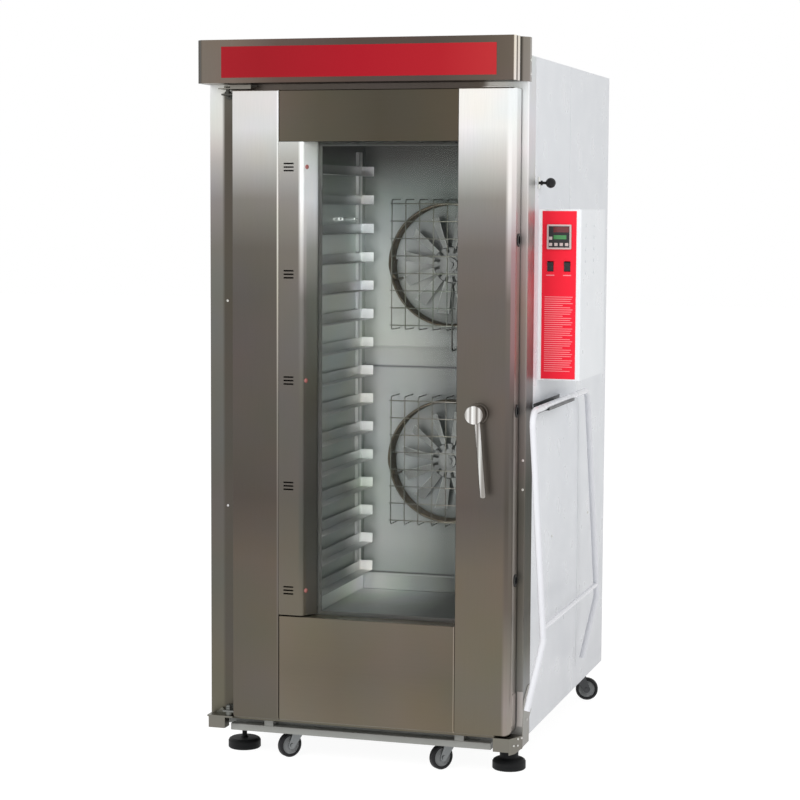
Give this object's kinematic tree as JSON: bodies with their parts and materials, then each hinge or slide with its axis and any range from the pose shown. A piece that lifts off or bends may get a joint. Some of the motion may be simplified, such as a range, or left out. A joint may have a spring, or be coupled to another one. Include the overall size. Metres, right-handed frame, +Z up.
{
  "type": "convection oven",
  "caption": "Tall electric convection oven on feet and castors, with a glazed side-hinged door, ladder racks, rear fans inside ring heaters, a side control box and a swing-up tube frame.",
  "frame": {"origin": "middle of the footprint on the floor", "axes": "+Z up, -Y towards the door side, +X to the right of someone facing the door"},
  "size_m": [1.105, 1.2956, 2.15],
  "materials": {
    "white_paint": "gloss",
    "stainless": "brushed",
    "olive_steel": "brushed",
    "chamber_steel": "satin",
    "bright_wire": "polished",
    "heater_tube": "heat tinted",
    "motor_paint": "satin",
    "wheel_steel": "satin",
    "rail_paint": "satin",
    "black_rubber": "matte",
    "zinc_plate": "satin",
    "wheel_rubber": "satin",
    "fascia_red": "gloss",
    "stripe_red": "gloss",
    "black_plastic": "matte",
    "switch_plastic": "gloss",
    "knob_black": "gloss",
    "dark_steel": "satin",
    "tube_white": "gloss",
    "screw_steel": "satin",
    "clear_glass": "clear",
    "seal_rubber": "matte",
    "handle_steel": "polished"
  },
  "bodies": {
    "cabinet": {"side_panel_left": "white_paint", "side_panel_right": "white_paint", "back_panel": "white_paint", "roof_panel": "white_paint", "control_box": "white_paint", "front_frame": "stainless", "hood": "stainless", "corner_bracket": "stainless", "hinge_bracket_lower": "stainless", "hinge_bracket_upper": "stainless", "flue_stub": "stainless", "liner_left": "chamber_steel", "liner_right": "chamber_steel", "liner_back": "chamber_steel", "liner_top": "chamber_steel", "floor_pan": "chamber_steel", "tray_ladder_left": "chamber_steel", "tray_ladder_right": "chamber_steel", "fan_guard_upper": "bright_wire", "fan_guard_lower": "bright_wire", "steam_tube": "bright_wire", "probe": "bright_wire", "ring_element_upper": "heater_tube", "ring_element_lower": "heater_tube", "fan_motor_upper": "motor_paint", "fan_motor_lower": "motor_paint", "base_frame": "rail_paint", "foot_left": "black_rubber", "foot_right": "black_rubber", "fascia": "fascia_red", "hood_stripe": "stripe_red", "controller": "black_plastic", "knob_plate": "dark_steel", "side_cradle": "dark_steel", "cabinet_screws": "screw_steel"},
    "door": {"door_skin_left": "stainless", "door_skin_right": "stainless", "door_panel_top": "olive_steel", "door_panel_bottom": "stainless", "door_inner_frame": "stainless", "door_glass_outer": "clear_glass", "door_glass_inner": "clear_glass", "lamp_housing": "stainless", "door_gasket": "seal_rubber", "door_catches": "stainless"},
    "door_handle": {"door_handle": "handle_steel"},
    "fan_wheel_upper": {"fan_wheel_upper": "wheel_steel"},
    "fan_wheel_lower": {"fan_wheel_lower": "wheel_steel"},
    "damper_knob": {"damper_knob": "knob_black"},
    "side_frame": {"side_frame": "tube_white"},
    "switch_left": {"switch_left": "switch_plastic"},
    "switch_right": {"switch_right": "switch_plastic"},
    "castor_fork_front_left": {"castor_fork_front_left": "zinc_plate"},
    "castor_wheel_front_left": {"castor_wheel_front_left": "wheel_rubber"},
    "castor_fork_front_right": {"castor_fork_front_right": "zinc_plate"},
    "castor_wheel_front_right": {"castor_wheel_front_right": "wheel_rubber"},
    "castor_fork_rear_left": {"castor_fork_rear_left": "zinc_plate"},
    "castor_wheel_rear_left": {"castor_wheel_rear_left": "wheel_rubber"},
    "castor_fork_rear_right": {"castor_fork_rear_right": "zinc_plate"},
    "castor_wheel_rear_right": {"castor_wheel_rear_right": "wheel_rubber"}
  },
  "joints": [
    {"name": "door_hinge", "type": "hinge", "parent": "cabinet", "child": "door", "pos_m": [-0.47775, -0.55385, 1.075], "axis": [0, 0, -1], "range_deg": [0, 150]},
    {"name": "handle_turn", "type": "hinge", "parent": "door", "child": "door_handle", "pos_m": [0.30125, -0.62985, 1.08], "axis": [0, 1, 0], "range_deg": [0, 90]},
    {"name": "fan_spin_upper", "type": "hinge", "parent": "cabinet", "child": "fan_wheel_upper", "pos_m": [-0.06075, 0.42815, 1.476], "axis": [0, 1, 0], "continuous": true},
    {"name": "fan_spin_lower", "type": "hinge", "parent": "cabinet", "child": "fan_wheel_lower", "pos_m": [-0.06075, 0.42815, 0.816], "axis": [0, 1, 0], "continuous": true},
    {"name": "damper_slide", "type": "slide", "parent": "cabinet", "child": "damper_knob", "axis": [1, 0, 0], "range_m": [0, 0.022]},
    {"name": "side_frame_swing", "type": "hinge", "parent": "cabinet", "child": "side_frame", "pos_m": [0.46225, -0.21785, 1.092], "axis": [0, -1, 0], "range_deg": [0, 90]},
    {"name": "switch_rock_left", "type": "hinge", "parent": "cabinet", "child": "switch_left", "pos_m": [0.46025, -0.38085, 1.498], "axis": [-1, 0, 0], "range_deg": [0, 16]},
    {"name": "switch_rock_right", "type": "hinge", "parent": "cabinet", "child": "switch_right", "pos_m": [0.51025, -0.38085, 1.498], "axis": [-1, 0, 0], "range_deg": [0, 16]},
    {"name": "castor_swivel_front_left", "type": "hinge", "parent": "cabinet", "child": "castor_fork_front_left", "pos_m": [-0.29675, -0.44385, 0.08], "axis": [0, 0, 1], "continuous": true},
    {"name": "castor_roll_front_left", "type": "hinge", "parent": "castor_fork_front_left", "child": "castor_wheel_front_left", "pos_m": [-0.31475, -0.4653, 0.0375], "axis": [0.766, -0.6428, 0], "continuous": true},
    {"name": "castor_swivel_front_right", "type": "hinge", "parent": "cabinet", "child": "castor_fork_front_right", "pos_m": [0.18125, -0.44385, 0.08], "axis": [0, 0, 1], "continuous": true},
    {"name": "castor_roll_front_right", "type": "hinge", "parent": "castor_fork_front_right", "child": "castor_wheel_front_right", "pos_m": [0.16325, -0.4653, 0.0375], "axis": [0.766, -0.6428, 0], "continuous": true},
    {"name": "castor_swivel_rear_left", "type": "hinge", "parent": "cabinet", "child": "castor_fork_rear_left", "pos_m": [-0.48575, 0.56115, 0.08], "axis": [0, 0, 1], "continuous": true},
    {"name": "castor_roll_rear_left", "type": "hinge", "parent": "castor_fork_rear_left", "child": "castor_wheel_rear_left", "pos_m": [-0.45817, 0.56601, 0.0375], "axis": [-0.1736, 0.9848, 0], "continuous": true},
    {"name": "castor_swivel_rear_right", "type": "hinge", "parent": "cabinet", "child": "castor_fork_rear_right", "pos_m": [0.36425, 0.56115, 0.08], "axis": [0, 0, 1], "continuous": true},
    {"name": "castor_roll_rear_right", "type": "hinge", "parent": "castor_fork_rear_right", "child": "castor_wheel_rear_right", "pos_m": [0.39182, 0.56601, 0.0375], "axis": [-0.1736, 0.9848, 0], "continuous": true}
  ]
}
